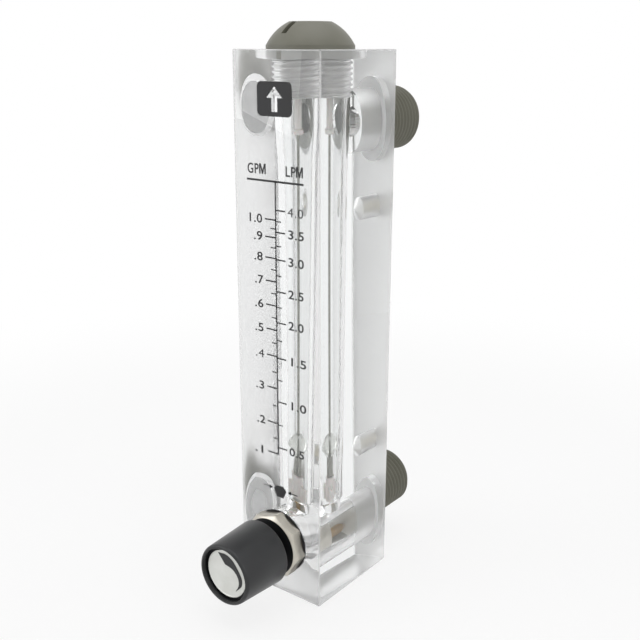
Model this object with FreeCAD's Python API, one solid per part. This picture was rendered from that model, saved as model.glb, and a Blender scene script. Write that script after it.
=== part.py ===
"""Panel rotameter with a needle valve: a clear acrylic meter block, a guided float and two back ports.

Frame: millimetres, +Z up, origin at the centre of the block's bottom face.
The user reads the scale from the -Y side, and both pipe ports leave the back, along +Y.
"""
import FreeCAD, Part
import math
import os

# ---- meter block ----
block_width = 32.0
block_depth = 37.0
block_above_outlet = 21.7
block_edge_chamfer = 0.4
axis_from_front = 16.0            # front face to the axis of the tapered bore

# ---- ports, on the block's back ----
inlet_height = 18.3
port_spacing = 130.0
port_hole_radius = 9.2
port_floor_behind_axis = 8.0      # from the tapered bore's axis to the port holes' floors
port_web_passage_radius = 4.5     # from the outlet port's hole into the outlet chamber

# ---- pipe nipples ----
nipple_reach = 24.2               # beyond the block's back face
nipple_thread_radius = 10.2
nipple_rim_chamfer = 0.6
thread_ridge_spacing = 2.9
thread_ridge_count = 9
thread_groove_depth = 0.85
thread_groove_width = 1.9        # at the crests
thread_groove_floor = 0.4
nipple_flange_radius = 12.3
nipple_flange_thickness = 3.0
nipple_shank_radius = 9.1
nipple_mouth_radius = 7.0
nipple_bore_radius = 4.5
nipple_mouth_depth = 21.0
nipple_bore_taper_length = 3.0
seat_bore_radius = 3.2            # throat that the needle closes, in the inlet nipple
seat_length = 2.2
seat_relief_length = 2.0

# ---- tapered bore, float and guide rod ----
bore_foot_above_inlet = 11.7
bore_bottom_radius = 5.0
bore_top_below_outlet = 9.3
bore_top_radius = 6.5
outlet_chamber_radius = 7.2
foot_passage_radius = 4.0         # under the tapered bore, down to the valve chamber
rod_radius = 0.6
rod_socket_depth = 3.6            # in the top plug
float_height = 6.5
float_radius = 4.6
float_shoulder_height = 3.4       # widest edge, above the float's underside
float_foot_radius = 2.2
float_crown_radius = 2.4
lower_stop_length = 7.0
lower_stop_radius = 1.8
upper_stop_length = 11.0
upper_stop_radius = 1.6
upper_stop_lip_radius = 2.4
upper_stop_lip_height = 1.4

# ---- foot that carries the rod in the bottom of the tapered bore ----
foot_hub_radius = 2.5
foot_hub_height = 8.0
foot_leg_height = 5.0
foot_leg_thickness = 1.2
foot_leg_count = 3
foot_socket_depth = 5.5

# ---- top plug ----
plug_head_radius = 12.9
plug_head_seat_depth = 3.0        # how deep the head sits in the block
plug_rim_height = 1.2             # the head's straight rim above the block
plug_dome_base_radius = 12.75
plug_dome_height = 6.35
plug_flat_radius = 6.1
plug_thread_radius = 7.9
plug_thread_length = 11.0
plug_slot_width = 2.0
plug_slot_depth = 3.3
plug_slot_turn = -7.0             # degrees from the Y direction

# ---- needle valve ----
bonnet_across_flats = 20.0
bonnet_corner_count = 8
bonnet_turn = -8.0                # degrees from +X towards +Z, to the first corner
bonnet_head_height = 4.4
bonnet_front_radius = 9.5         # where the head's corners are chamfered away
bonnet_chamfer_rise = 0.6
bonnet_shank_radius = 9.1
bonnet_shank_length = 12.1
bonnet_front_wall = 1.5
gasket_thickness = 0.6
gasket_outer_radius = 10.5
gasket_inner_radius = 9.3
stem_spindle_radius = 3.0
stem_seal_radius = 3.9
stem_thread_radius = 4.9
stem_seal_zone_length = 5.2
stem_land_length = 3.0
stem_thread_length = 7.8
stem_barrel_radius = 3.9
needle_tip_radius = 1.5
needle_half_angle = 30.0
needle_seat_gap = 0.1
stem_flat_offset = 2.2            # flat of the D end, from the stem's axis
valve_travel = 3.0

# ---- knob ----
knob_gap_to_bonnet = 3.8          # grip's back edge to the bonnet's front
knob_grip_length = 17.7
knob_back_radius = 10.6
knob_front_radius = 9.75
knob_rim_round = 0.9
knob_back_round = 0.5
knob_hub_radius = 7.0
knob_hub_gap = 0.8                # hub to bonnet with the valve shut
knob_recess_radius = 8.6
knob_recess_depth = 2.4
knob_socket_length = 13.7         # how far the stem's D end reaches into the knob and its hub
cap_radius = 7.7
cap_thickness = 0.8
cap_rim_width = 0.4
cap_rim_height = 0.25
screw_thread_radius = 1.5
screw_head_radius = 2.8
screw_head_height = 1.8
screw_length = 8.0
screw_pocket_radius = 3.2
screw_pocket_depth = 3.4
screw_drive_width = 0.8
screw_drive_depth = 0.8

# ---- mounting inserts, in the block's back ----
insert_above_inlet = 25.7
insert_below_outlet = 26.3
insert_radius = 3.5
insert_length = 6.0
insert_bore_radius = 2.1
insert_hole_depth = 8.0
insert_groove_depth = 0.4
insert_groove_width = 1.2

# ---- rubber rings ----
port_ring_radius = 10.3           # to the middle of the ring's section
port_ring_section = 0.9
plug_ring_radius = 9.7
plug_ring_section = 0.9
stem_ring_radius = 3.35
stem_ring_section = 0.65
ring_squeeze_gap = 0.05           # left between a ring and each wall of its groove

# ---- fits ----
thread_clearance = 0.1
slide_clearance = 0.1
press_clearance = 0.03
seat_gap = 0.05

# ---- places worked out from the sizes above ----
front_y = -block_depth / 2
back_y = block_depth / 2
meter_y = front_y + axis_from_front
outlet_height = inlet_height + port_spacing
block_height = outlet_height + block_above_outlet
bore_bottom_z = inlet_height + bore_foot_above_inlet
bore_top_z = outlet_height - bore_top_below_outlet
insert_heights = {
    "mounting_insert_lower": inlet_height + insert_above_inlet,
    "mounting_insert_upper": outlet_height - insert_below_outlet,
}
port_floor_y = meter_y + port_floor_behind_axis
plug_seat_z = block_height - plug_head_seat_depth
plug_bottom_z = plug_seat_z - plug_thread_length
bonnet_back_y = front_y - gasket_thickness
bonnet_front_y = bonnet_back_y - bonnet_head_height
bonnet_end_y = bonnet_back_y + bonnet_shank_length
grip_back_y = bonnet_front_y - knob_gap_to_bonnet
grip_front_y = grip_back_y - knob_grip_length
hub_end_y = bonnet_front_y - knob_hub_gap
recess_floor_y = grip_front_y + knob_recess_depth
stem_front_y = hub_end_y - knob_socket_length
lower_stop_z = bore_bottom_z + foot_hub_height
foot_socket_floor_z = lower_stop_z - foot_socket_depth
float_rest_z = lower_stop_z + lower_stop_length + seat_gap
float_top_z = float_rest_z + float_height
upper_stop_z = plug_bottom_z - upper_stop_length
float_travel = upper_stop_z - float_top_z - seat_gap

UP = FreeCAD.Vector(0, 0, 1)
BACK = FreeCAD.Vector(0, 1, 0)


def outline(start, *steps):
    """A closed wire in (radius, height): a step is a point, or (middle, end) for an arc."""
    def vector(point):
        return FreeCAD.Vector(point[0], 0, point[1])
    edges = []
    here = vector(start)
    for step in steps + (start,):
        if isinstance(step[0], tuple):
            middle, end = vector(step[0]), vector(step[1])
            edges.append(Part.Arc(here, middle, end).toShape())
        else:
            end = vector(step)
            edges.append(Part.makeLine(here, end))
        here = end
    return Part.Wire(edges)


def turned_upright(start, *steps):
    """A turned piece on the tapered bore's axis: outline points are (radius, z)."""
    solid = Part.Face(outline(start, *steps)).revolve(FreeCAD.Vector(0, 0, 0), UP, 360)
    solid.translate(FreeCAD.Vector(0, meter_y, 0))
    return solid


def turned_level(z, start, *steps):
    """A turned piece on a level front-to-back axis at height z: outline points are (radius, y)."""
    solid = Part.Face(outline(start, *steps)).revolve(FreeCAD.Vector(0, 0, 0), UP, 360)
    solid.rotate(FreeCAD.Vector(0, 0, 0), FreeCAD.Vector(1, 0, 0), -90)
    solid.translate(FreeCAD.Vector(0, 0, z))
    return solid


def upright_hole(radius, z_low, z_high):
    return Part.makeCylinder(radius, z_high - z_low, FreeCAD.Vector(0, meter_y, z_low), UP)


def level_hole(radius, y_low, y_high, z):
    return Part.makeCylinder(radius, y_high - y_low, FreeCAD.Vector(0, y_low, z), BACK)


def squeezed_section(ring_radius, half, middle):
    """The eight-sided section of a rubber ring pressed flat against its groove's walls."""
    flat = half * math.tan(math.pi / 8)
    corners = [(-flat, -half), (flat, -half), (half, -flat), (half, flat),
               (flat, half), (-flat, half), (-half, flat), (-half, -flat)]
    return [(ring_radius + across, middle + along) for across, along in corners]


def upright_ring(ring_radius, half, z):
    return turned_upright(*squeezed_section(ring_radius, half, z))


def level_ring(ring_radius, half, y, z):
    return turned_level(z, *squeezed_section(ring_radius, half, y))


def one_solid(shape):
    """The single solid that a chain of cuts and fuses leaves, with its seams cleaned."""
    return shape.removeSplitter().Solids[0]


def meter_body():
    """The clear block, bored from the top, through the bottom valve chamber and at the ports."""
    corner = FreeCAD.Vector(-block_width / 2, front_y, 0)
    block = Part.makeBox(block_width, block_depth, block_height, corner)
    block = block.makeChamfer(block_edge_chamfer, block.Edges)
    past = 1.0
    tapered_bore = Part.makeCone(
        bore_bottom_radius, bore_top_radius, bore_top_z - bore_bottom_z,
        FreeCAD.Vector(0, meter_y, bore_bottom_z), UP)
    head_seat_radius = plug_head_radius + thread_clearance
    flange_seat_radius = nipple_flange_radius + thread_clearance
    flange_seat_y = back_y - nipple_flange_thickness
    holes = [
        tapered_bore,
        upright_hole(foot_passage_radius, inlet_height, bore_bottom_z),
        upright_hole(outlet_chamber_radius, bore_top_z, plug_bottom_z),
        upright_hole(plug_thread_radius + thread_clearance, plug_bottom_z, plug_seat_z),
        upright_hole(head_seat_radius, plug_seat_z, block_height + past),
        level_hole(port_hole_radius, front_y - past, back_y + past, inlet_height),
        level_hole(port_hole_radius, port_floor_y, back_y + past, outlet_height),
        level_hole(port_web_passage_radius, meter_y, port_floor_y, outlet_height),
        level_hole(flange_seat_radius, flange_seat_y, back_y + past, inlet_height),
        level_hole(flange_seat_radius, flange_seat_y, back_y + past, outlet_height),
    ]
    for height in insert_heights.values():
        hole_radius = insert_radius + press_clearance
        holes.append(level_hole(hole_radius, back_y - insert_hole_depth, back_y + past, height))
    for hole in holes:
        block = block.cut(hole)
    return one_solid(block)


def nipple(z, throat):
    """A moulded pipe nipple: ridged barrel, sunk flange with its ring groove, and shank."""
    inner_y = port_floor_y + slide_clearance
    flange_y = back_y - nipple_flange_thickness + seat_gap
    rim_y = back_y + nipple_reach
    mouth_y = rim_y - nipple_mouth_depth
    groove_in = nipple_shank_radius
    groove_out = port_ring_radius + port_ring_section + ring_squeeze_gap
    groove_y = flange_y + 2 * port_ring_section
    rim_radius = nipple_thread_radius - nipple_rim_chamfer
    ridges = []
    for number in range(thread_ridge_count - 1):
        middle = rim_y - nipple_rim_chamfer - thread_ridge_spacing * (number + 0.5)
        ridges += [(nipple_thread_radius, middle + thread_groove_width / 2),
                   (nipple_thread_radius - thread_groove_depth, middle + thread_groove_floor / 2),
                   (nipple_thread_radius - thread_groove_depth, middle - thread_groove_floor / 2),
                   (nipple_thread_radius, middle - thread_groove_width / 2)]
    if throat:
        inner_mouth = [(nipple_bore_radius, inner_y + seat_length + seat_relief_length),
                       (seat_bore_radius, inner_y + seat_length),
                       (seat_bore_radius, inner_y)]
    else:
        inner_mouth = [(nipple_bore_radius, inner_y)]
    return turned_level(
        z, *inner_mouth[::-1],
        (nipple_bore_radius, mouth_y - nipple_bore_taper_length),
        (nipple_mouth_radius, mouth_y),
        (nipple_mouth_radius, rim_y),
        (rim_radius, rim_y),
        (nipple_thread_radius, rim_y - nipple_rim_chamfer),
        *ridges,
        (nipple_thread_radius, back_y),
        (nipple_flange_radius, back_y),
        (nipple_flange_radius, flange_y),
        (groove_out, flange_y),
        (groove_out, groove_y),
        (groove_in, groove_y),
        (groove_in, inner_y))


def port_ring(z):
    """The rubber ring squeezed between a nipple's flange and the floor of its seat."""
    return level_ring(port_ring_radius, port_ring_section,
                      back_y - nipple_flange_thickness + port_ring_section + ring_squeeze_gap, z)


def mounting_insert(z):
    """A brass threaded insert pressed in flush with the block's back."""
    inner_y = back_y - insert_length
    groove_y = back_y - insert_length / 2
    half_groove = insert_groove_width / 2
    groove_radius = insert_radius - insert_groove_depth
    return turned_level(
        z, (insert_bore_radius, inner_y), (insert_radius, inner_y),
        (insert_radius, groove_y - half_groove), (groove_radius, groove_y - half_groove),
        (groove_radius, groove_y + half_groove), (insert_radius, groove_y + half_groove),
        (insert_radius, back_y), (insert_bore_radius, back_y))


def top_plug():
    """The domed plug that closes the bore, with its driver slot and the rod's socket."""
    rim_z = block_height + plug_rim_height
    flat_z = rim_z + plug_dome_height
    rise = flat_z ** 2 - rim_z ** 2 + plug_flat_radius ** 2 - plug_dome_base_radius ** 2
    centre_z = rise / (2 * (flat_z - rim_z))
    dome_radius = math.hypot(plug_dome_base_radius, rim_z - centre_z)
    middle_z = (rim_z + flat_z) / 2
    middle_radius = math.sqrt(dome_radius ** 2 - (middle_z - centre_z) ** 2)
    groove_out = plug_ring_radius + plug_ring_section + ring_squeeze_gap
    groove_z = plug_seat_z + seat_gap + 2 * plug_ring_section
    socket_radius = rod_radius + press_clearance
    socket_z = plug_bottom_z + rod_socket_depth
    plug = turned_upright(
        (0, socket_z), (socket_radius, socket_z), (socket_radius, plug_bottom_z),
        (plug_thread_radius, plug_bottom_z), (plug_thread_radius, groove_z),
        (groove_out, groove_z), (groove_out, plug_seat_z + seat_gap),
        (plug_head_radius, plug_seat_z + seat_gap), (plug_head_radius, rim_z),
        (plug_dome_base_radius, rim_z),
        ((middle_radius, middle_z), (plug_flat_radius, flat_z)),
        (0, flat_z))
    slot_reach = 2 * plug_head_radius
    slot = Part.makeBox(plug_slot_width, slot_reach, plug_dome_height,
                        FreeCAD.Vector(-plug_slot_width / 2, meter_y - slot_reach / 2,
                                       flat_z - plug_slot_depth))
    slot.rotate(FreeCAD.Vector(0, meter_y, 0), UP, plug_slot_turn)
    return one_solid(plug.cut(slot))


def plug_ring():
    """The rubber ring under the plug's head."""
    return upright_ring(plug_ring_radius, plug_ring_section,
                        plug_seat_z + plug_ring_section + ring_squeeze_gap)


def guide_rod():
    """The straight rod that the float slides on, from the foot's socket to the plug's."""
    return upright_hole(rod_radius, foot_socket_floor_z, plug_bottom_z + rod_socket_depth - seat_gap)


def rod_foot():
    """A hub on three legs that stands on the ledge under the tapered bore and holds the rod."""
    socket_radius = rod_radius + press_clearance
    hub = turned_upright(
        (0, bore_bottom_z), (foot_hub_radius, bore_bottom_z),
        (foot_hub_radius, lower_stop_z), (socket_radius, lower_stop_z),
        (socket_radius, foot_socket_floor_z), (0, foot_socket_floor_z))
    leg_reach = bore_bottom_radius - seat_gap
    for number in range(foot_leg_count):
        leg = Part.makeBox(leg_reach - rod_radius - slide_clearance, foot_leg_thickness, foot_leg_height,
                           FreeCAD.Vector(rod_radius + slide_clearance, meter_y - foot_leg_thickness / 2,
                                          bore_bottom_z))
        leg.rotate(FreeCAD.Vector(0, meter_y, 0), UP, 90 + number * 360 / foot_leg_count)
        hub = hub.fuse(leg)
    hub = hub.common(upright_hole(leg_reach, bore_bottom_z, lower_stop_z))
    return one_solid(hub)


def float_stop_lower():
    """The collar on the rod that the float rests on; it stands on the foot's hub."""
    inner = rod_radius + press_clearance
    high = lower_stop_z + lower_stop_length
    return turned_upright((inner, lower_stop_z), (lower_stop_radius, lower_stop_z),
                          (lower_stop_radius, high), (inner, high))


def float_stop_upper():
    """The lipped sleeve under the plug that stops the float at the top of its travel."""
    inner = rod_radius + press_clearance
    lip_z = upper_stop_z + upper_stop_lip_height
    top = plug_bottom_z - seat_gap
    return turned_upright((inner, upper_stop_z), (upper_stop_lip_radius, upper_stop_z),
                          (upper_stop_lip_radius, lip_z), (upper_stop_radius, lip_z),
                          (upper_stop_radius, top), (inner, top))


def float_piece():
    """The float: a cone below its reading edge and a rounded crown above, on a guide hole."""
    inner = rod_radius + slide_clearance
    low = float_rest_z
    shoulder = low + float_shoulder_height
    top = low + float_height
    crown_height = top - shoulder
    middle = (float_crown_radius + (float_radius - float_crown_radius) * math.sin(math.pi / 4),
              shoulder + crown_height * math.cos(math.pi / 4))
    return turned_upright(
        (inner, low), (float_foot_radius, low), (float_radius, shoulder),
        (middle, (float_crown_radius, top)), (inner, top))


def valve_bonnet():
    """The eight-sided bonnet: head, threaded shank, seal bore and thread for the stem."""
    corner_radius = bonnet_across_flats / 2 / math.cos(math.pi / bonnet_corner_count)
    corners = []
    for number in range(bonnet_corner_count + 1):
        angle = math.radians(bonnet_turn + number * 360 / bonnet_corner_count)
        corners.append(FreeCAD.Vector(corner_radius * math.cos(angle), bonnet_front_y,
                                      inlet_height + corner_radius * math.sin(angle)))
    head = Part.Face(Part.makePolygon(corners)).extrude(BACK * bonnet_head_height)
    envelope = turned_level(
        inlet_height, (0, bonnet_front_y), (bonnet_front_radius, bonnet_front_y),
        (corner_radius, bonnet_front_y + bonnet_chamfer_rise * 2),
        (corner_radius, bonnet_back_y), (0, bonnet_back_y))
    head = head.common(envelope)
    shank = level_hole(bonnet_shank_radius, bonnet_back_y, bonnet_end_y, inlet_height)
    spindle_hole = stem_spindle_radius + slide_clearance
    seal_bore = stem_ring_radius + stem_ring_section + ring_squeeze_gap
    thread_bore = stem_thread_radius + slide_clearance
    seal_front = bonnet_front_y + bonnet_front_wall
    thread_front = stem_thread_front() - valve_travel - slide_clearance
    bonnet = head.fuse(shank)
    bonnet = bonnet.cut(level_hole(spindle_hole, bonnet_front_y - 1, seal_front + 1, inlet_height))
    bonnet = bonnet.cut(level_hole(seal_bore, seal_front, thread_front + 1, inlet_height))
    bonnet = bonnet.cut(level_hole(thread_bore, thread_front, bonnet_end_y + 1, inlet_height))
    return one_solid(bonnet)


def bonnet_gasket():
    """The flat ring under the bonnet's head."""
    return turned_level(
        inlet_height, (gasket_inner_radius, bonnet_back_y), (gasket_outer_radius, bonnet_back_y),
        (gasket_outer_radius, front_y), (gasket_inner_radius, front_y))


def stem_seal_front():
    """Front of the stem's sealing land, clear of the bonnet's front wall when fully open."""
    return bonnet_front_y + bonnet_front_wall + valve_travel + 4 * slide_clearance


def stem_thread_front():
    return stem_seal_front() + stem_seal_zone_length + stem_land_length


def needle_start():
    """Where the needle's cone leaves the barrel, so that it just closes the throat at rest."""
    slope = math.tan(math.radians(needle_half_angle))
    seat_y = port_floor_y + slide_clearance
    return seat_y - (stem_barrel_radius - seat_bore_radius + needle_seat_gap) / slope


def valve_stem():
    """The rising stem: D end for the knob, ring groove, thread, barrel and needle."""
    slope = math.tan(math.radians(needle_half_angle))
    tip_y = needle_start() + (stem_barrel_radius - needle_tip_radius) / slope
    groove_radius = stem_ring_radius - stem_ring_section - ring_squeeze_gap
    groove_middle = stem_seal_front() + stem_seal_zone_length / 2
    half_groove = stem_ring_section + ring_squeeze_gap
    thread_end = stem_thread_front() + stem_thread_length
    screw_bore = screw_thread_radius + press_clearance
    bore_end = recess_floor_y + screw_pocket_depth + screw_length + seat_gap
    stem = turned_level(
        inlet_height, (screw_bore, stem_front_y), (stem_spindle_radius, stem_front_y),
        (stem_spindle_radius, stem_seal_front()), (stem_seal_radius, stem_seal_front()),
        (stem_seal_radius, groove_middle - half_groove),
        (groove_radius, groove_middle - half_groove),
        (groove_radius, groove_middle + half_groove),
        (stem_seal_radius, groove_middle + half_groove),
        (stem_seal_radius, stem_thread_front()), (stem_thread_radius, stem_thread_front()),
        (stem_thread_radius, thread_end), (stem_barrel_radius, thread_end),
        (stem_barrel_radius, needle_start()), (needle_tip_radius, tip_y), (0, tip_y),
        (0, bore_end), (screw_bore, bore_end))
    return one_solid(stem.cut(stem_flat(stem_flat_offset)))


def stem_flat(offset):
    """The block of metal, or of knob, above the D end's flat."""
    size = 3 * stem_spindle_radius
    length = hub_end_y - knob_hub_gap - stem_front_y
    return Part.makeBox(2 * size, length + 1, size,
                        FreeCAD.Vector(-size, stem_front_y - 1, inlet_height + offset))


def stem_ring():
    """The rubber ring in the stem's groove, sliding in the bonnet's bore."""
    middle = stem_seal_front() + stem_seal_zone_length / 2
    return level_ring(stem_ring_radius, stem_ring_section, middle, inlet_height)


def knob():
    """The grip: hub and D socket behind, rounded rim, recess and screw pocket in front."""
    corner = math.sin(math.pi / 4)
    rim_middle = (knob_front_radius - knob_rim_round * (1 - corner),
                  grip_front_y + knob_rim_round * (1 - corner))
    back_middle = (knob_back_radius - knob_back_round * (1 - corner),
                   grip_back_y - knob_back_round * (1 - corner))
    pocket_floor = recess_floor_y + screw_pocket_depth
    screw_hole = screw_thread_radius + slide_clearance
    body = turned_level(
        inlet_height, (0, hub_end_y), (knob_hub_radius, hub_end_y), (knob_hub_radius, grip_back_y),
        (knob_back_radius - knob_back_round, grip_back_y),
        (back_middle, (knob_back_radius, grip_back_y - knob_back_round)),
        (knob_front_radius, grip_front_y + knob_rim_round),
        (rim_middle, (knob_front_radius - knob_rim_round, grip_front_y)),
        (knob_recess_radius, grip_front_y), (knob_recess_radius, recess_floor_y),
        (screw_pocket_radius, recess_floor_y), (screw_pocket_radius, pocket_floor),
        (screw_hole, pocket_floor), (screw_hole, stem_front_y), (0, stem_front_y))
    socket = level_hole(stem_spindle_radius + press_clearance, stem_front_y - seat_gap,
                        hub_end_y + 1, inlet_height)
    socket = socket.cut(stem_flat(stem_flat_offset + press_clearance))
    return one_solid(body.cut(socket))


def knob_cap():
    """The thin metal disc, with a raised rim, that covers the knob's screw."""
    front = recess_floor_y - cap_thickness
    inner = cap_radius - cap_rim_width
    return turned_level(
        inlet_height, (0, recess_floor_y), (cap_radius, recess_floor_y),
        (cap_radius, front - cap_rim_height), (inner, front - cap_rim_height),
        (inner, front), (0, front))


def knob_screw():
    """The slotted cheese-head screw that holds the knob on the stem's end."""
    under_head = recess_floor_y + screw_pocket_depth
    head_front = under_head - screw_head_height
    screw = turned_level(
        inlet_height, (0, head_front), (screw_head_radius, head_front),
        (screw_head_radius, under_head), (screw_thread_radius, under_head),
        (screw_thread_radius, under_head + screw_length), (0, under_head + screw_length))
    slot = Part.makeBox(2 * screw_pocket_radius, screw_drive_depth + 1, screw_drive_width,
                        FreeCAD.Vector(-screw_pocket_radius, head_front - 1,
                                       inlet_height - screw_drive_width / 2))
    return one_solid(screw.cut(slot))


def pieces():
    """Every piece of the rotameter, by its name."""
    made = {
        "meter_body": meter_body(),
        "inlet_nipple": nipple(inlet_height, True),
        "inlet_seal": port_ring(inlet_height),
        "outlet_nipple": nipple(outlet_height, False),
        "outlet_seal": port_ring(outlet_height),
        "top_plug": top_plug(),
        "top_plug_seal": plug_ring(),
        "guide_rod": guide_rod(),
        "rod_foot": rod_foot(),
        "float_stop_lower": float_stop_lower(),
        "float_stop_upper": float_stop_upper(),
        "float": float_piece(),
        "valve_bonnet": valve_bonnet(),
        "bonnet_gasket": bonnet_gasket(),
        "valve_stem": valve_stem(),
        "stem_seal": stem_ring(),
        "knob": knob(),
        "knob_cap": knob_cap(),
        "knob_screw": knob_screw(),
    }
    for name, height in insert_heights.items():
        made[name] = mounting_insert(height)
    return made


os.makedirs("parts", exist_ok=True)
for name, shape in pieces().items():
    print(name, shape.isValid(), len(shape.Solids), round(shape.Volume, 2))
    shape.exportStep("parts/" + name + ".step")
print("float travel", round(float_travel, 3))
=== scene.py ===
import math

import bpy
from mathutils import Matrix, Vector


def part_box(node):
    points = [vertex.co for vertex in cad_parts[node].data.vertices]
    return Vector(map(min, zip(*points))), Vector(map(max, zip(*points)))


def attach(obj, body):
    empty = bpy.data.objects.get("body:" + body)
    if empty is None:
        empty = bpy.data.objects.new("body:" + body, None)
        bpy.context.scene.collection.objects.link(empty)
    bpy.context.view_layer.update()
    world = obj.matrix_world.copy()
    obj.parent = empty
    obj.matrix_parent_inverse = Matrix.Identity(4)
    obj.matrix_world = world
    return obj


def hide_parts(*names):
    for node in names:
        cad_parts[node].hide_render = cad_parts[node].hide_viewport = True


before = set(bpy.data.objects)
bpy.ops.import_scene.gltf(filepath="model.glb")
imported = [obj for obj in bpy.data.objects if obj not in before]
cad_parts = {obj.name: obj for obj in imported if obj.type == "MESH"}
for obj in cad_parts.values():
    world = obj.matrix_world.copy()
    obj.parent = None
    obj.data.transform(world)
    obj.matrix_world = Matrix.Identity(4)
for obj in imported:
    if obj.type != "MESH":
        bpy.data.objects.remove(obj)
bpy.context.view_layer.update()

# A panel rotameter: a clear block with a float on a guide rod, a needle valve and two pipe nipples.
# X runs across, Y from the knob to the pipes, and Z up.
MM = 0.001  # lengths are in millimetres, and this makes them metres
WELD = 0.00001  # points closer than this, in metres, become one

# ---------------------------------------------------------------- places and sizes, in mm


def box_mm(node):
    """A node's lowest and highest corners."""
    low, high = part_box(node)
    return low / MM, high / MM


block_low, block_high = box_mm("meter_body")
plug_low, plug_high = box_mm("top_plug")
inlet_low, inlet_high = box_mm("inlet_nipple")
outlet_low, outlet_high = box_mm("outlet_nipple")
bonnet_low, bonnet_high = box_mm("valve_bonnet")
knob_low, knob_high = box_mm("knob")
cap_low, cap_high = box_mm("knob_cap")
rod_low, rod_high = box_mm("guide_rod")
foot_low = box_mm("rod_foot")[0]
gasket_low, gasket_high = box_mm("bonnet_gasket")

front_y = block_low.y
back_y = block_high.y
block_top = block_high.z
meter_y = (rod_low.y + rod_high.y) / 2
inlet_z = (inlet_low.z + inlet_high.z) / 2
outlet_z = (outlet_low.z + outlet_high.z) / 2
bore_bottom = foot_low.z
bore_top = outlet_z - 9.3
port_floor = outlet_low.y - 0.1

port_radius = 9.2  # the valve's chamber, and the holes for the nipples' shanks
water_radius = 4.5
flange_seat_radius, flange_seat_depth = 12.4, 3.0
insert_hole_radius, insert_hole_depth = 3.53, 8.0
plug_seat = block_top - 3.0
plug_seat_radius = 13.0
tapped_minor, tapped_major = 7.2, 8.0  # radii of the block's thread for the plug
plug_root, plug_crest, plug_pitch = 7.1, 7.9, 1.5
pipe_root, pipe_crest, pipe_pitch = 9.35, 10.2, 1.814
past = 2.0  # how far a cutting tool stands out of what it cuts

# ---------------------------------------------------------------- making pieces


def deselected():
    """Nothing selected, and object mode."""
    if bpy.context.object and bpy.context.object.mode != "OBJECT":
        bpy.ops.object.mode_set(mode="OBJECT")
    bpy.ops.object.select_all(action="DESELECT")


def only(piece):
    """Makes this piece the one selected and active."""
    deselected()
    piece.select_set(True)
    bpy.context.view_layer.objects.active = piece
    return piece


def place_in_mesh(piece):
    """Moves the piece's place, turn and scale into its mesh."""
    only(piece)
    bpy.ops.object.transform_apply(location=True, rotation=True, scale=True)
    return piece


def turned(name, stations, axis="Z", at_z=0.0, sides=96):
    """A lathe-turned piece, upright on the rod's axis, or level along Y at a height.
    A circle is drawn out from station to station, each (radius, place on the axis). The piece is
    closed by a flat face at each end, or by meeting its first station again."""
    deselected()
    radius, at = stations[0]
    level = axis == "Y"
    along = Vector((0, 1, 0)) if level else Vector((0, 0, 1))

    def centre(place):
        return Vector((0, place, at_z) if level else (0, meter_y, place)) * MM

    bpy.ops.mesh.primitive_circle_add(
        vertices=sides, radius=radius * MM, fill_type="NOTHING", location=centre(at),
        rotation=(math.pi / 2 if level else 0, 0, 0))
    piece = bpy.context.object
    piece.name = name
    bpy.ops.object.mode_set(mode="EDIT")
    bpy.ops.mesh.select_all(action="SELECT")
    for new_radius, new_at in stations[1:]:
        bpy.ops.mesh.extrude_edges_move(
            TRANSFORM_OT_translate={"value": along * (new_at - at) * MM})
        if new_radius != radius:
            grow = new_radius / radius
            bpy.ops.transform.resize(
                value=(grow, 1, grow) if level else (grow, grow, 1),
                center_override=centre(new_at))
        radius, at = new_radius, new_at
    bpy.ops.mesh.select_all(action="SELECT")
    bpy.ops.mesh.remove_doubles(threshold=WELD)
    bpy.ops.mesh.fill_holes(sides=0)
    bpy.ops.mesh.select_all(action="SELECT")
    bpy.ops.mesh.normals_make_consistent(inside=False)
    bpy.ops.object.mode_set(mode="OBJECT")
    return place_in_mesh(piece)


def threaded(name, root, crest, pitch, start, end, axis="Z", steps=64):
    """A threaded rod along Z or Y: a ridge is swept up as a helix and cut square at both ends."""
    deselected()
    bpy.ops.mesh.primitive_plane_add(size=MM, location=(0, 0, 0))
    piece = bpy.context.object
    piece.name = name
    bpy.ops.object.mode_set(mode="EDIT")
    bpy.ops.mesh.select_all(action="SELECT")
    bpy.ops.mesh.merge(type="CENTER")
    bpy.ops.transform.translate(value=(root * MM, 0, 0))
    height = crest - root
    flat, flank = 0.12, 0.32  # shares of the pitch; root and crest are blunt
    for across, up in ((0, flat), (height, flank), (0, flat), (-height, flank), (0, flat)):
        bpy.ops.mesh.extrude_vertices_move(
            TRANSFORM_OT_translate={"value": (across * MM, 0, up * pitch * MM)})
    bpy.ops.object.mode_set(mode="OBJECT")
    spare_turns = 3
    sweep = piece.modifiers.new("sweep", "SCREW")
    sweep.screw_offset = pitch * MM
    sweep.iterations = math.ceil((end - start) / pitch) + spare_turns
    sweep.steps = sweep.render_steps = steps
    sweep.use_merge_vertices = True
    sweep.merge_threshold = WELD
    bpy.ops.object.modifier_apply(modifier=sweep.name)
    bpy.ops.object.mode_set(mode="EDIT")
    bpy.ops.mesh.select_all(action="SELECT")
    bpy.ops.mesh.remove_doubles(threshold=WELD)
    low = 1.537 * pitch * MM  # clear of the helix's open first turn, and of its corners
    high = low + (end - start) * MM
    for height_cut, side in ((low, {"clear_inner": True}), (high, {"clear_outer": True})):
        bpy.ops.mesh.select_all(action="SELECT")
        bpy.ops.mesh.bisect(
            plane_co=(0, 0, height_cut), plane_no=(0, 0, 1), use_fill=True, threshold=1e-8, **side)
    bpy.ops.mesh.select_all(action="SELECT")
    bpy.ops.mesh.normals_make_consistent(inside=False)
    bpy.ops.transform.translate(value=(0, 0, start * MM - low))
    bpy.ops.object.mode_set(mode="OBJECT")
    if axis == "Y":
        piece.rotation_euler = (-math.pi / 2, 0, 0)
    return place_in_mesh(piece)


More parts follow.
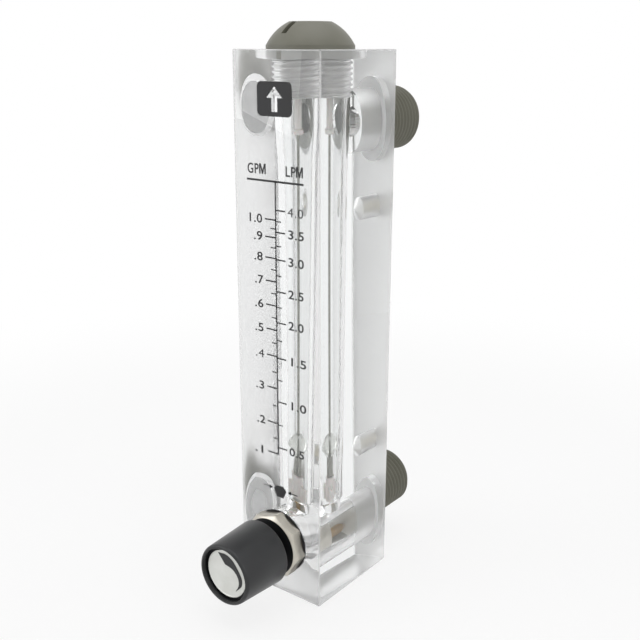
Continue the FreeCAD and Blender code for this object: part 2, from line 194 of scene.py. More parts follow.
def shift(piece, y=0.0, z=0.0):
    """Moves all of a piece's mesh."""
    only(piece)
    bpy.ops.object.mode_set(mode="EDIT")
    bpy.ops.mesh.select_all(action="SELECT")
    bpy.ops.transform.translate(value=(0, y * MM, z * MM))
    bpy.ops.object.mode_set(mode="OBJECT")
    return piece


def carve(piece, tool, how="DIFFERENCE"):
    """Cuts the tool from the piece, or fuses or intersects them, and the tool is used up."""
    only(piece)
    cut = piece.modifiers.new("cut", "BOOLEAN")
    cut.operation = how
    cut.solver = "EXACT"
    cut.object = tool
    bpy.ops.object.modifier_apply(modifier=cut.name)
    bpy.data.objects.remove(tool)
    return piece


def bevelled(piece, width, angle=30):
    """Rounds every edge sharper than the angle, in degrees."""
    only(piece)
    bevel = piece.modifiers.new("edges", "BEVEL")
    bevel.width = width * MM
    bevel.segments = 2
    bevel.limit_method = "ANGLE"
    bevel.angle_limit = math.radians(angle)
    bpy.ops.object.modifier_apply(modifier=bevel.name)
    return piece


def smoothed(piece, angle=30):
    """Shades the piece smooth, apart from edges sharper than the angle, in degrees."""
    only(piece)
    bpy.ops.object.shade_smooth_by_angle(angle=math.radians(angle))
    return piece


def joined(first, *others):
    """One mesh from several."""
    only(first)
    for other in others:
        other.select_set(True)
    bpy.ops.object.join()
    return first


# ---------------------------------------------------------------- materials


def linear(hexa):
    """An sRGB hex colour as linear red, green, blue and alpha."""
    parts = [int(hexa[k:k + 2], 16) / 255 for k in (1, 3, 5)]
    return tuple(
        c / 12.92 if c <= 0.04045 else ((c + 0.055) / 1.055) ** 2.4 for c in parts) + (1.0,)


def add_node(material, kind, inputs=None, **settings):
    """Adds a node, sets its properties, and fills or links its inputs."""
    tree = material.node_tree
    made = tree.nodes.new("ShaderNode" + kind)
    for name, value in settings.items():
        setattr(made, name, value)
    for name, value in (inputs or {}).items():
        if isinstance(value, bpy.types.NodeSocket):
            tree.links.new(value, made.inputs[name])
        else:
            made.inputs[name].default_value = value
    return made


def new_material(name):
    """An empty material."""
    material = bpy.data.materials.new(name)
    material.use_nodes = True
    material.node_tree.nodes.clear()
    return material


# In the next three functions, depth is the strength of the bump, from 0 to 1.


def moulded(name, dark, light, roughness, grain_mm, depth, subsurface=0.0):
    """Moulded plastic: a fine tool texture, slight flow shading and uneven gloss."""
    material = new_material(name)
    place = add_node(material, "TexCoord").outputs["Object"]
    flow_mm = 14
    flow = add_node(material, "TexNoise", {
        "Vector": place, "Scale": 1 / (flow_mm * MM), "Detail": 2.0})
    colour = add_node(material, "ValToRGB", {"Fac": flow.outputs["Fac"]})
    for stop, position, shade in zip(colour.color_ramp.elements, (0.3, 0.7), (dark, light)):
        stop.position = position
        stop.color = linear(shade)
    gloss = add_node(material, "MapRange", {
        "Value": flow.outputs["Fac"], "From Min": 0.3, "From Max": 0.7,
        "To Min": roughness - 0.05, "To Max": roughness + 0.05})
    grain = add_node(material, "TexNoise", {
        "Vector": place, "Scale": 1 / (grain_mm * MM), "Detail": 3.0})
    bump = add_node(material, "Bump", {
        "Height": grain.outputs["Fac"], "Strength": depth, "Distance": 0.05 * MM})
    shader = add_node(material, "BsdfPrincipled", {
        "Base Color": colour.outputs["Color"], "Roughness": gloss.outputs["Result"],
        "Normal": bump.outputs["Normal"], "IOR": 1.5, "Subsurface Weight": subsurface,
        "Subsurface Scale": 1.5 * MM})
    add_node(material, "OutputMaterial", {"Surface": shader.outputs[0]})
    return material


def machined(name, dark, light, roughness, ring_mm, axis="Y", axis_z=0.0, depth=0.2):
    """Turned metal: rings where the tool has passed, and a colour that varies a little. Each ring
    and each groove is ring_mm wide. Real tool marks are several times finer, too fine to show."""
    material = new_material(name)
    place = add_node(material, "TexCoord").outputs["Object"]
    centred = add_node(material, "Mapping", {"Vector": place, "Location": (0, 0, -axis_z * MM)})
    wave_scale = 1 / (ring_mm * MM) / 20 * math.pi  # a wave of this scale repeats every 2 ring_mm
    rings = add_node(material, "TexWave", {
        "Vector": centred.outputs["Vector"], "Scale": wave_scale,
        "Distortion": 0.6, "Detail": 2.0, "Detail Scale": 2.0},
        wave_type="RINGS", rings_direction=axis)
    cloud_mm = 5
    cloud = add_node(material, "TexNoise", {
        "Vector": place, "Scale": 1 / (cloud_mm * MM), "Detail": 3.0})
    colour = add_node(material, "ValToRGB", {"Fac": cloud.outputs["Fac"]})
    for stop, position, shade in zip(colour.color_ramp.elements, (0.3, 0.7), (dark, light)):
        stop.position = position
        stop.color = linear(shade)
    gloss = add_node(material, "MapRange", {
        "Value": rings.outputs["Fac"], "To Min": roughness - 0.04, "To Max": roughness + 0.06})
    bump = add_node(material, "Bump", {
        "Height": rings.outputs["Fac"], "Strength": depth, "Distance": 0.02 * MM})
    shader = add_node(material, "BsdfPrincipled", {
        "Base Color": colour.outputs["Color"], "Metallic": 1.0,
        "Roughness": gloss.outputs["Result"], "Normal": bump.outputs["Normal"]})
    add_node(material, "OutputMaterial", {"Surface": shader.outputs[0]})
    return material


def clear_plastic(name, tint, roughness, wave_mm, depth, ior=1.49, clear=1.0):
    """Clear plastic: a faint unevenness bends what is seen through it. With clear below 1 it is
    partly milky."""
    material = new_material(name)
    place = add_node(material, "TexCoord").outputs["Object"]
    uneven = add_node(material, "TexNoise", {
        "Vector": place, "Scale": 1 / (wave_mm * MM), "Detail": 1.0})
    bump = add_node(material, "Bump", {
        "Height": uneven.outputs["Fac"], "Strength": depth, "Distance": 0.02 * MM})
    shader = add_node(material, "BsdfPrincipled", {
        "Base Color": linear(tint), "Roughness": roughness, "Transmission Weight": clear,
        "IOR": ior, "Normal": bump.outputs["Normal"]})
    add_node(material, "OutputMaterial", {"Surface": shader.outputs[0]})
    return material


# Cast acrylic, polished: glass-clear, with a trace of the polish's waviness.
polished_acrylic = clear_plastic(
    "polished_cast_acrylic", "#FBFCFC", roughness=0.0, wave_mm=14.0, depth=0.012)
# The same acrylic reamed, as in the tapered bore: nearly clear.
reamed_acrylic = clear_plastic(
    "reamed_cast_acrylic", "#FBFCFC", roughness=0.07, wave_mm=6.0, depth=0.0, clear=0.96)
# The same acrylic where a drill or a tap has been: silky, and milky in the light.
bored_acrylic = clear_plastic(
    "bored_cast_acrylic", "#FDFDFD", roughness=0.25, wave_mm=1.2, depth=0.25, clear=0.65)
# The same acrylic milled and left so on the back: frosted white, a backing for the scale.
milled_acrylic = clear_plastic(
    "milled_cast_acrylic", "#FFFFFF", roughness=0.45, wave_mm=0.6, depth=0.06, clear=0.76)
# The same acrylic sanded fine, as on the foot: lightly frosted.
sanded_acrylic = clear_plastic(
    "sanded_cast_acrylic", "#FDFDFD", roughness=0.22, wave_mm=0.8, depth=0.05, clear=0.8)
# The seats of the nipples' flanges, cut by an end mill: frosted most, nearly white.
spot_faced_acrylic = clear_plastic(
    "spot_faced_cast_acrylic", "#FEFEFE", roughness=0.6, wave_mm=0.6, depth=0.4, clear=0.1)
# Moulded grey engineering plastic: satin, olive-grey, with the mould's fine texture.
grey_plastic = moulded(
    "moulded_grey_plastic", "#6C6B5E", "#77766A", roughness=0.45, grain_mm=0.35, depth=0.25)
# The same plastic where it has been drilled: paler, as the cut scatters the light.
bored_plastic = moulded(
    "bored_grey_plastic", "#C4C4BF", "#D2D2CC", roughness=0.6, grain_mm=0.3, depth=0.3)
# Moulded black plastic: soft sheen, never fully black.
black_plastic = moulded(
    "moulded_black_plastic", "#191A1C", "#1E1F21", roughness=0.36, grain_mm=0.3, depth=0.2)
# Moulded white acetal: slightly waxy, warm white.
white_plastic = moulded(
    "moulded_white_acetal", "#E2DCD8", "#ECE8E4", roughness=0.35, grain_mm=0.4, depth=0.15,
    subsurface=0.1)
# Nitrile rubber: dull black.
rubber = moulded(
    "moulded_nitrile_rubber", "#141414", "#1C1C1C", roughness=0.65, grain_mm=0.3, depth=0.3)
# Ground stainless steel: grey, bright, with fine marks round the rod.
stainless = machined(
    "ground_stainless_steel", "#85857F", "#97968F", roughness=0.22, ring_mm=0.25, axis="Z")
# Nickel plate over turned brass: warm, bright, with faint tool rings.
nickel = machined(
    "nickel_plated_brass", "#BDB8AD", "#C8C4BA", roughness=0.32, ring_mm=0.3, axis_z=inlet_z)
# Bare turned brass, dulled: tan with faint tool rings.
brass = machined(
    "turned_brass", "#B5935C", "#C8A66C", roughness=0.3, ring_mm=0.3, axis_z=inlet_z)
# Tinned brass of the pressed-in inserts: pale and dull.
pale_brass = machined("turned_pale_brass", "#DDD8C8", "#E8E4D8", roughness=0.6, ring_mm=0.3)
# Spun aluminium disc, clear-lacquered: satin silver with circular brushing.
spun_silver = machined(
    "spun_aluminium", "#D4D5D0", "#DFE0DC", roughness=0.42, ring_mm=0.18, axis_z=inlet_z,
    depth=0.12)
# Moulded clear plastic of the float: like lightly frosted glass.
float_plastic = clear_plastic(
    "moulded_clear_float", "#D9DAD6", roughness=0.12, wave_mm=0.9, depth=0.3, ior=1.52)
# Screen-printed ink: flat black with a slight gloss and a fine grain.
printed_ink = moulded(
    "screen_printed_ink", "#1B1B1C", "#262628", roughness=0.5, grain_mm=0.2, depth=0.3)


def finish(piece, material, body, slot_name, *nodes):
    """Gives the piece its material and body, and hides the CAD nodes that it stands for; slot_name
    is not used.
    """
    if not piece.data.materials:
        piece.data.materials.append(material)
    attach(piece, body)
    if nodes:
        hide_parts(*nodes)
    return piece


# ---------------------------------------------------------------- meter block

deselected()
bpy.ops.mesh.primitive_cube_add(
    size=MM, location=(block_low + block_high) / 2 * MM, scale=block_high - block_low)
block = bpy.context.object
block.name = "acrylic_block"
place_in_mesh(block)
bevelled(block, 0.4)

carve(block, turned("cut_bore", [
    (4.0, inlet_z), (4.0, bore_bottom - 0.6), (4.25, bore_bottom - 0.1), (4.7, bore_bottom),
    (5.0, bore_bottom + 0.5), (6.5, bore_top), (6.75, bore_top + 2.5),
    (tapped_minor, bore_top + 9), (tapped_minor, plug_low.z + 0.3)]))
tapped_hole = threaded(
    "cut_thread", tapped_minor, tapped_major, plug_pitch, plug_low.z, plug_seat + 0.5)
carve(block, shift(tapped_hole, y=meter_y))
carve(block, turned("cut_head", [
    (plug_seat_radius, plug_seat), (plug_seat_radius, block_top + past)]))
carve(block, turned("cut_valve", [
    (port_radius, front_y - past), (port_radius, port_floor), (port_radius, back_y + past)],
    "Y", inlet_z))
carve(block, turned("cut_outlet", [
    (water_radius, meter_y), (water_radius, port_floor)], "Y", outlet_z))
carve(block, turned("cut_outlet_port", [
    (port_radius, port_floor), (port_radius, back_y + past)], "Y", outlet_z))
for port_z in (inlet_z, outlet_z):
    carve(block, turned("cut_flange", [
        (flange_seat_radius, back_y - flange_seat_depth), (flange_seat_radius, back_y + past)],
        "Y", port_z))
for node_name in ("mounting_insert_lower", "mounting_insert_upper"):
    low, high = box_mm(node_name)
    carve(block, turned("cut_insert", [
        (0.4, back_y - insert_hole_depth - 2), (insert_hole_radius, back_y - insert_hole_depth),
        (insert_hole_radius, back_y + past)], "Y", (low.z + high.z) / 2, 48))
smoothed(block)


def acrylic_finish(face):
    """The finish of one face of the block, by how that face was made."""
    spot = face.center / MM
    on_axis_y = abs(face.normal.y) > 0.999
    squared = max(abs(c) for c in face.normal) > 0.999
    outside = 0.5 > min(
        spot.x - block_low.x, block_high.x - spot.x, spot.y - front_y, back_y - spot.y,
        spot.z, block_top - spot.z)
    tiny = face.area < MM * MM  # as where the bevels of three edges meet
    if on_axis_y and spot.y > back_y - 0.1:
        return milled_acrylic
    if on_axis_y and spot.y > back_y - flange_seat_depth - 0.1:
        return spot_faced_acrylic
    if spot.z < 0.01:
        return sanded_acrylic
    if outside and (squared or tiny) or on_axis_y:
        return polished_acrylic
    from_rod = math.hypot(spot.x, spot.y - meter_y)
    in_bore = from_rod < 8.1 and bore_bottom < spot.z < plug_low.z - 0.5
    in_valve = spot.z < bore_bottom and spot.y < port_floor
    return reamed_acrylic if in_bore or in_valve else bored_acrylic


finishes = [
    polished_acrylic, reamed_acrylic, bored_acrylic, milled_acrylic, spot_faced_acrylic,
    sanded_acrylic]
for material in finishes:
    block.data.materials.append(material)
for face in block.data.polygons:
    face.material_index = finishes.index(acrylic_finish(face))
finish(block, polished_acrylic, "meter", "clear_acrylic", "meter_body")

# ---------------------------------------------------------------- pipe nipples


def pipe_nipple(name, low, high, port_z, throat):
    """Barrel with a pipe thread, sunk flange over its ring groove, shank and stepped bore.
    The inlet's bore has a throat, which the valve's needle closes."""
    barrel = threaded(name, pipe_root, pipe_crest, pipe_pitch, back_y - 0.6, high.y - 0.01, "Y")
    shift(barrel, z=port_z)
    carve(barrel, turned("chamfered_end", [
        (10.6, back_y - 0.7), (10.6, high.y - 1.0), (9.45, high.y)], "Y", port_z), "INTERSECT")
    flange, flange_radius = back_y - 2.95, 12.3
    shank_radius, groove_radius, groove_depth = 9.1, 11.25, 1.8
    carve(barrel, turned("shank_and_flange", [
        (shank_radius, low.y), (shank_radius, flange + groove_depth),
        (groove_radius, flange + groove_depth), (groove_radius, flange), (flange_radius, flange),
        (flange_radius, back_y), (9.0, back_y)], "Y", port_z), "UNION")
    inner_radius, cone_end = (3.2, low.y + 4.2) if throat else (water_radius, low.y + 4.0)
    mouth_radius = 7.0
    carve(barrel, turned("way_through", [
        (inner_radius, low.y - 1), (inner_radius, low.y + 2.2), (water_radius, cone_end),
        (water_radius, high.y - 24), (mouth_radius, high.y - 21), (mouth_radius, high.y - 0.4),
        (7.5, high.y + 0.1), (7.5, high.y + past)], "Y", port_z))
    smoothed(barrel, 35)
    barrel.data.materials.append(grey_plastic)
    barrel.data.materials.append(bored_plastic)
    for face in barrel.data.polygons:
        spot = face.center / MM
        drilled = math.hypot(spot.x, spot.z - port_z) < 4.6 and spot.y < high.y - 23
        face.material_index = int(drilled)
    return barrel


inlet = pipe_nipple("grey_inlet_nipple", inlet_low, inlet_high, inlet_z, True)
finish(inlet, grey_plastic, "meter", "grey_plastic", "inlet_nipple")
outlet = pipe_nipple("grey_outlet_nipple", outlet_low, outlet_high, outlet_z, False)
finish(outlet, grey_plastic, "meter", "grey_plastic", "outlet_nipple")

# ---------------------------------------------------------------- domed plug

plug = shift(threaded(
    "domed_plug", plug_root, plug_crest, plug_pitch, plug_low.z, plug_seat + 0.5), y=meter_y)
# The dome is part of a ball, through the edge of its flat top and the edge of its base.
rim_z = block_top + 1.2
flat_radius, base_radius = 6.1, 12.75
rise = plug_high.z ** 2 - rim_z ** 2 + flat_radius ** 2 - base_radius ** 2
dome_z = rise / (2 * (plug_high.z - rim_z))
dome_radius = math.hypot(base_radius, rim_z - dome_z)
start_angle = math.atan2(rim_z - dome_z, base_radius)
end_angle = math.atan2(plug_high.z - dome_z, flat_radius)
dome = []
dome_steps = 16
for step in range(dome_steps + 1):
    angle = start_angle + (end_angle - start_angle) * step / dome_steps
    dome.append((dome_radius * math.cos(angle), dome_z + dome_radius * math.sin(angle)))
ring_room = plug_seat + 1.85
head = turned("plug_head", [
    (7.0, ring_room), (11.0, ring_room), (11.0, plug_seat + 0.05), (12.8, plug_seat + 0.05),
    (12.9, plug_seat + 0.15), (12.9, rim_z - 0.1), (12.85, rim_z)] + dome)
carve(plug, head, "UNION")
slot_width, slot_turn = 2.0, -7
deselected()
bpy.ops.mesh.primitive_cube_add(
    size=MM, location=(0, meter_y * MM, (plug_high.z + 0.2) * MM), scale=(slot_width, 30, 7.0),
    rotation=(0, 0, math.radians(slot_turn)))
carve(plug, place_in_mesh(bpy.context.object))
smoothed(plug, 32)
finish(plug, grey_plastic, "meter", "grey_plastic", "top_plug")

# ---------------------------------------------------------------- rod, float and stops

rod = turned("steel_guide_rod", [
    (0.45, rod_low.z), (0.6, rod_low.z + 0.2), (0.6, rod_high.z - 0.2), (0.45, rod_high.z)],
    sides=32)
finish(smoothed(rod), stainless, "meter", "stainless_steel", "guide_rod")

low, high = (corner.z for corner in box_mm("float"))
float_piece = turned("guided_float", [
    (0.7, low), (2.0, low), (2.2, low + 0.15), (4.5, low + 3.25), (4.6, low + 3.45),
    (4.5, low + 3.8), (4.2, low + 4.5), (3.75, low + 5.3), (3.2, low + 5.95), (2.7, low + 6.35),
    (2.4, high), (0.7, high), (0.7, low)], sides=64)
finish(smoothed(float_piece, 40), float_plastic, "float_body", "float_plastic", "float")

low, high = (corner.z for corner in box_mm("float_stop_lower"))
lower_stop = turned("lower_stop_collar", [
    (0.63, low), (1.65, low), (1.8, low + 0.15), (1.8, high - 0.15), (1.65, high), (0.63, high),
    (0.63, low)], sides=48)
finish(smoothed(lower_stop), stainless, "meter", "stainless_steel", "float_stop_lower")

low, high = (corner.z for corner in box_mm("float_stop_upper"))
upper_stop = turned("upper_stop_sleeve", [
    (0.63, low), (2.2, low), (2.4, low + 0.2), (2.4, low + 1.2), (2.2, low + 1.4),
    (1.6, low + 1.5), (1.6, high), (0.63, high), (0.63, low)], sides=48)
finish(smoothed(upper_stop), white_plastic, "meter", "white_plastic", "float_stop_upper")

# ---------------------------------------------------------------- valve bonnet

head_depth = front_y - (gasket_high.y - gasket_low.y) - bonnet_low.y
corner = 10.0 / math.cos(math.pi / 8)  # from the axis to a corner, for 20 across the flats
deselected()
bpy.ops.mesh.primitive_cylinder_add(
    vertices=8, radius=corner * MM, depth=head_depth * MM, rotation=(math.pi / 2, 0, 0),
    location=(0, (bonnet_low.y + head_depth / 2) * MM, inlet_z * MM))
bonnet = bpy.context.object
bonnet.name = "octagon_bonnet"
place_in_mesh(bonnet)
bpy.ops.object.mode_set(mode="EDIT")
bpy.ops.mesh.select_all(action="SELECT")
corner_now = min(
    (math.degrees(math.atan2(v.co.z - inlet_z * MM, v.co.x)) for v in bonnet.data.vertices),
    key=abs)
corner_wanted = -8
bpy.ops.transform.rotate(
    value=math.radians(corner_wanted - corner_now), orient_axis="Y",
    center_override=(0, 0, inlet_z * MM))
bpy.ops.object.mode_set(mode="OBJECT")
carve(bonnet, turned("chamfer", [
    (9.5, bonnet_low.y), (corner + 0.2, bonnet_low.y + 1.2), (corner + 0.2, front_y)],
    "Y", inlet_z), "INTERSECT")
bevelled(bonnet, 0.15, 25)
carve(bonnet, turned("shank", [
    (9.1, front_y - 1.5), (9.1, bonnet_high.y - 0.5), (8.6, bonnet_high.y)], "Y", inlet_z), "UNION")
stem_hole, chamber_radius, thread_radius = 3.1, 5.0, 4.05
carve(bonnet, turned("hole", [
    (3.4, bonnet_low.y - 1), (stem_hole, bonnet_low.y + 0.3), (stem_hole, bonnet_low.y + 1.5),
    (thread_radius, bonnet_low.y + 1.6), (thread_radius, bonnet_low.y + 9.9),
    (chamber_radius, bonnet_low.y + 10.0), (chamber_radius, bonnet_high.y + 1)], "Y", inlet_z))
smoothed(bonnet, 25)
bonnet.data.materials.append(nickel)
# The bonnet's front face, in the knob's shadow and facing the knob, is given black plastic: painted
# shade and a painted reflection of the black knob on the nickel.
bonnet.data.materials.append(black_plastic)
for face in bonnet.data.polygons:
    face.material_index = int(face.center.y / MM < bonnet_low.y + 0.01)
finish(bonnet, nickel, "meter", "nickel_plate", "valve_bonnet")

# ---------------------------------------------------------------- knob

rim, back, hub = knob_low.y, knob_low.y + 17.7, knob_high.y
shaft_hole, recess_radius, recess_floor = 3.03, 8.6, rim + 2.4
knob = turned("knob_grip", [
    (shaft_hole, hub), (6.8, hub), (7.0, hub - 0.2), (7.0, back), (10.05, back),
    (10.3, back - 0.08), (10.52, back - 0.25), (10.6, back - 0.55), (9.76, rim + 0.95),
    (9.7, rim + 0.6), (9.5, rim + 0.27), (9.2, rim + 0.08), (8.9, rim), (8.72, rim + 0.05),
    (8.62, rim + 0.2), (recess_radius, recess_floor), (3.2, recess_floor), (3.2, rim + 5.8),
    (shaft_hole, rim + 5.8), (shaft_hole, hub)], "Y", inlet_z, 128)
finish(smoothed(knob, 40), black_plastic, "valve_turning", "black_plastic", "knob")

cap_back, cap_front = cap_high.y, cap_high.y - 0.8
cap = turned("silver_cap", [
    (7.55, cap_back), (7.7, cap_back - 0.1), (7.7, cap_low.y + 0.1), (7.62, cap_low.y + 0.02),
    (7.5, cap_low.y), (7.38, cap_low.y + 0.03), (7.3, cap_front - 0.05), (7.2, cap_front),
    (0.5, cap_front)], "Y", inlet_z, 128)
finish(smoothed(cap, 40), spun_silver, "valve_turning", "silver_cap", "knob_cap")

# ---------------------------------------------------------------- printing


def flat_shape(name, outline, thick):
    """A flat printed shape: a closed curve through its points, filled and thickened. Each point is
    (across, up, kind of corner)."""
    curve = bpy.data.curves.new(name, "CURVE")
    curve.dimensions = "2D"
    curve.fill_mode = "BOTH"
    curve.extrude = thick / 2 * MM
    curve.resolution_u = 16
    spline = curve.splines.new("BEZIER")
    spline.bezier_points.add(len(outline) - 1)
    spline.use_cyclic_u = True
    for point, (across, up, kind) in zip(spline.bezier_points, outline):
        point.co = (across * MM, up * MM, 0)
        point.handle_left_type = point.handle_right_type = kind
    shape = bpy.data.objects.new(name, curve)
    bpy.context.scene.collection.objects.link(shape)
    only(shape)
    bpy.ops.object.convert(target="MESH")
    return bpy.context.object


def polygon(corners, thick):
    """A flat printed shape with straight sides."""
    return flat_shape("polygon", [corner + ("VECTOR",) for corner in corners], thick)


def stand_up(piece, x, y, z):
    """Turns a flat shape to face the front and puts it at its place."""
    only(piece)
    piece.rotation_euler = (math.pi / 2, 0, 0)
    piece.location = (x * MM, y * MM, z * MM)
    return place_in_mesh(piece)


# A curved arrow, broad at one end and drawn round to a point at the other.
arrow = flat_shape("cap_arrow", [
    (-3.4, 6.1, "VECTOR"), (0.7, 6.1, "AUTO"), (4.4, 2.9, "AUTO"), (6.1, -1.2, "AUTO"),
    (3.4, -5.0, "VECTOR"), (4.8, -1.4, "AUTO"), (3.1, 1.8, "AUTO"), (-0.7, 3.0, "VECTOR")], 0.06)
stand_up(arrow, 0, cap_front - 0.03, inlet_z)
finish(arrow, printed_ink, "valve_turning", "silver_cap")

ink_thick = 0.04
ink_y = front_y - 0.03
half_line = 0.22
scale_x = -0.3  # the upright line that both scales share
prints = []


def stroke(x_low, x_high, z_low, z_high):
    """A straight printed line."""
    deselected()
    bpy.ops.mesh.primitive_cube_add(
        size=MM, location=((x_low + x_high) / 2 * MM, ink_y * MM, (z_low + z_high) / 2 * MM),
        scale=(x_high - x_low, ink_thick, z_high - z_low))
    prints.append(place_in_mesh(bpy.context.object))


def word(text, x, z, height, width, align="LEFT"):
    """Printed characters, their foot at z. They are written at size 1 and then scaled."""
    cap_height, depth_scale = 0.73, 4.0
    deselected()
    bpy.ops.object.text_add()
    written = bpy.context.object
    written.data.body = text
    written.data.align_x = align
    written.data.offset = 0.0 if "4" in text else 0.014  # more would close up the open part of a 4
    written.data.extrude = ink_thick / 2 / depth_scale
    written.data.space_character = 1.08
    bpy.ops.object.convert(target="MESH")
    written = bpy.context.object
    low_x, high_x = (side(v.co.x for v in written.data.vertices) for side in (min, max))
    written.scale = (width / (high_x - low_x) * MM, height / cap_height * MM, depth_scale * MM)
    prints.append(stand_up(written, x, ink_y, z))


def letter_m(x, z, height, width):
    """A capital M, drawn from its corners."""
    stem, half = 0.2 * width, width / 2
    corners = [
        (0, 0), (0, height), (1.25 * stem, height), (half, 0.36 * height),
        (width - 1.25 * stem, height), (width, height), (width, 0), (width - stem, 0),
        (width - stem, 0.66 * height), (half + 0.5 * stem, 0), (half - 0.5 * stem, 0),
        (stem, 0.66 * height), (stem, 0)]
    prints.append(stand_up(polygon(corners, ink_thick), x, ink_y, z))


def flow_panel(x, z, width, height):
    """A solid rounded panel with a flow arrow left clear in it."""
    deselected()
    bpy.ops.mesh.primitive_plane_add(size=MM)
    panel = bpy.context.object
    panel.scale = (width, height, 1)
    place_in_mesh(panel)
    bpy.ops.object.mode_set(mode="EDIT")
    bpy.ops.mesh.select_all(action="SELECT")
    corner_radius = 1.6
    bpy.ops.mesh.bevel(offset=corner_radius * MM, segments=8, affect="VERTICES")
    bpy.ops.mesh.extrude_region_move(TRANSFORM_OT_translate={"value": (0, 0, ink_thick * MM)})
    bpy.ops.mesh.select_all(action="SELECT")
    bpy.ops.mesh.normals_make_consistent(inside=False)
    bpy.ops.object.mode_set(mode="OBJECT")
    stem, head_height, tall, wide = 1.1, 3.2, 7.0, 5.8
    shoulder = tall - head_height
    corners = [
        (-stem, 0), (-stem, shoulder), (-wide / 2, shoulder), (0, tall), (wide / 2, shoulder),
        (stem, shoulder), (stem, 0)]
    arrow_cut = polygon([(across, up - tall / 2) for across, up in corners], 10 * ink_thick)
    prints.append(stand_up(carve(panel, arrow_cut), x, ink_y + ink_thick / 2, z))


def level_sign(x, z):
    """A float's outline between two marks at its widest edge."""
    outline = [
        (-1.3, 0), (-2.5, 2.6), (-2.2, 3.1), (-1.3, 4.0), (1.3, 4.0), (2.2, 3.1), (2.5, 2.6),
        (1.3, 0)]
    prints.append(stand_up(polygon(outline, ink_thick), x, ink_y, z))
    for side in (-1, 1):
        stroke(x + side * 5.2 - 1.8, x + side * 5.2 + 1.8, z + 2.45, z + 2.8)
        pointer = [(side * 3.1, 2.62), (side * 4.4, 1.9), (side * 4.4, 3.35)]
        prints.append(stand_up(polygon(pointer, ink_thick), x, ink_y, z))


def scale_side(marks, long_end, short_end, number_x, wide, narrow, align="LEFT"):
    """One side of the scale: a long mark with its number at each value, and short marks between.
    A number of three characters is wide, and one of two is narrow."""
    number_height = 2.7
    last = None
    for text, z in marks:
        stroke(min(scale_x, long_end), max(scale_x, long_end), z - half_line, z + half_line)
        width = wide if len(text) == 3 else narrow
        word(text, number_x, z - number_height / 2, number_height, width, align)
        if last is not None:
            middle, half_short = (z + last) / 2, half_line * 0.8
            stroke(min(scale_x, short_end), max(scale_x, short_end),
                   middle - half_short, middle + half_short)
        last = z


flow_panel(scale_x, 156.6, width=12.8, height=9.6)
level_sign(0.3, 33.6)
header_bar_low, header_bar_high = 133.25, 133.85
stroke(-11.1, 10.1, header_bar_low, header_bar_high)
stroke(scale_x - half_line, scale_x + half_line, 48.3, 133.5)
header_z, header_height = 135.4, 3.0
word("GP", -10.9, header_z, header_height, 4.3)
letter_m(-6.3, header_z, header_height, 2.5)
word("LP", 3.4, header_z, header_height, 3.7)
letter_m(7.4, header_z, header_height, 2.5)
litres = [
    ("4.0", 125.3), ("3.5", 118.85), ("3.0", 110.7), ("2.5", 101.0), ("2.0", 91.4),
    ("1.5", 80.2), ("1.0", 66.0), ("0.5", 50.7)]
gallons = [
    ("1.0", 122.4), (".9", 117.2), (".8", 111.0), (".7", 103.9), (".6", 96.5), (".5", 88.9),
    (".4", 80.6), (".3", 70.2), (".2", 58.7), (".1", 48.4)]
scale_side(litres, long_end=3.3, short_end=1.7, number_x=4.2, wide=5.7, narrow=5.7)
scale_side(
    gallons, long_end=-4.4, short_end=-2.3, number_x=-5.4, wide=4.9, narrow=3.3, align="RIGHT")
scale_print = joined(*prints)
scale_print.name = "printed_scale"
finish(scale_print, printed_ink, "meter", "black_plastic")

# ---------------------------------------------------------------- CAD pieces that keep their shape

kept = {
    "inlet_seal": rubber, "outlet_seal": rubber, "top_plug_seal": rubber, "stem_seal": rubber,
    "bonnet_gasket": rubber, "rod_foot": white_plastic, "valve_stem": brass,
    "knob_screw": stainless, "mounting_insert_lower": pale_brass,
    "mounting_insert_upper": pale_brass,
}
for node_name, material in kept.items():
    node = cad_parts[node_name]
    node.data.materials.clear()
    node.data.materials.append(material)

# ---------------------------------------------------------------- floor and light


def background_rays(material):
    """Two values for a ray: 1 if it shows the white background, as the camera's rays and those
    that the object bends or mirrors do, and how bright that background is to it."""
    rays = add_node(material, "LightPath")
    bent = add_node(material, "Math", {
        0: rays.outputs["Is Glossy Ray"], 1: rays.outputs["Is Transmission Ray"]},
        operation="MAXIMUM")
    seeing = add_node(material, "Math", {
        0: rays.outputs["Is Camera Ray"], 1: bent.outputs[0]}, operation="MAXIMUM")
    level = add_node(material, "MapRange", {
        "Value": rays.outputs["Is Camera Ray"], "To Min": 0.97, "To Max": 1.0})
    return seeing.outputs[0], level.outputs[0]


# A matt white floor that keeps the shadow near the meter and fades into the white background.
floor_white = new_material("studio_floor")
place = add_node(floor_white, "TexCoord").outputs["Object"]
far = add_node(floor_white, "VectorMath", {0: place}, operation="LENGTH")
fade = add_node(floor_white, "MapRange", {
    "Value": far.outputs["Value"], "From Min": 0.16, "From Max": 0.34},
    interpolation_type="SMOOTHSTEP")
seeing, level = background_rays(floor_white)
backdrop = add_node(floor_white, "MapRange", {
    "Value": fade.outputs[0], "To Min": 0.8, "To Max": 1.0})
amount = add_node(floor_white, "Math", {0: backdrop.outputs[0], 1: seeing}, operation="MULTIPLY")
matt = add_node(floor_white, "BsdfDiffuse", {"Color": linear("#FDFDFD")})
glow = add_node(floor_white, "Emission", {"Color": (1, 1, 1, 1), "Strength": level})
mixed = add_node(floor_white, "MixShader", {
    "Fac": amount.outputs[0], 1: matt.outputs[0], 2: glow.outputs[0]})
add_node(floor_white, "OutputMaterial", {"Surface": mixed.outputs[0]})
deselected()
bpy.ops.mesh.primitive_circle_add(
    vertices=64, radius=3.0, fill_type="NGON", location=(0, 0, -0.0003))
floor = place_in_mesh(bpy.context.object)
floor.name = "studio_floor"
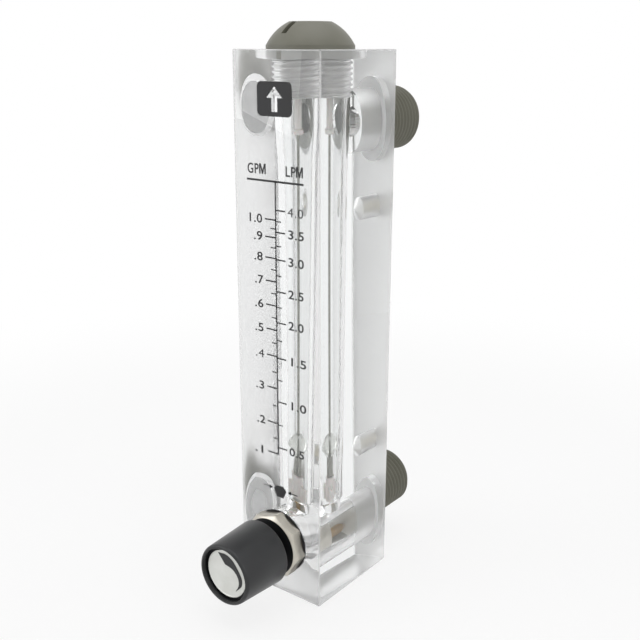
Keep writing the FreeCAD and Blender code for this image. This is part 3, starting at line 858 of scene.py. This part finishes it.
floor.data.materials.append(floor_white)

world = bpy.data.worlds.new("studio")
bpy.context.scene.world = world
world.use_nodes = True
world.node_tree.nodes.clear()
seeing, level = background_rays(world)
strength = add_node(world, "MapRange", {"Value": seeing, "To Min": 0.45, "To Max": level})
sky = add_node(world, "Background", {"Color": (1, 1, 1, 1), "Strength": strength.outputs[0]})
add_node(world, "OutputWorld", {"Surface": sky.outputs[0]})


def lamp(name, place, watts, size):
    """A soft square lamp that looks at the block's middle. Place and size are in metres."""
    light = bpy.data.lights.new(name, "AREA")
    light.energy = watts
    light.size = size
    made = bpy.data.objects.new(name, light)
    bpy.context.scene.collection.objects.link(made)
    made.location = place
    aim = Vector((0, 0, 0.085)) - Vector(place)
    made.rotation_euler = aim.to_track_quat("-Z", "Y").to_euler()


lamp("overhead_lamp", (0.1, 0.0, 1.1), watts=3.5, size=0.9)
lamp("left_lamp", (-0.7, -0.7, 0.6), watts=2.4, size=0.7)
lamp("right_lamp", (0.95, -0.1, 0.5), watts=1.6, size=0.7)

# ---------------------------------------------------------------- camera, from the front right

camera_data = bpy.data.cameras.new("camera")
camera_data.lens = 52.0
camera_data.sensor_width = 36.0
camera_data.clip_start = 0.01
camera = bpy.data.objects.new("camera", camera_data)
bpy.context.scene.collection.objects.link(camera)
camera_place = Vector((0.17167, -0.22048, 0.17178))
view = Vector((-0.58464, 0.75864, -0.28751)).normalized()
right = view.cross(Vector((0, 0, 1))).normalized()
up = right.cross(view)
roll = math.radians(0.127)
right, up = (
    right * math.cos(roll) + up * math.sin(roll), up * math.cos(roll) - right * math.sin(roll))
turn = Matrix((right, up, -view)).transposed()
camera.matrix_world = Matrix.Translation(camera_place) @ turn.to_4x4()
bpy.context.scene.camera = camera

scene = bpy.context.scene
scene.view_settings.view_transform = "Standard"
# A ray crosses many clear walls, and is thrown back inside the block many times.
scene.cycles.max_bounces = 24
scene.cycles.transmission_bounces = 24
scene.cycles.glossy_bounces = 16
scene.cycles.diffuse_bounces = 6
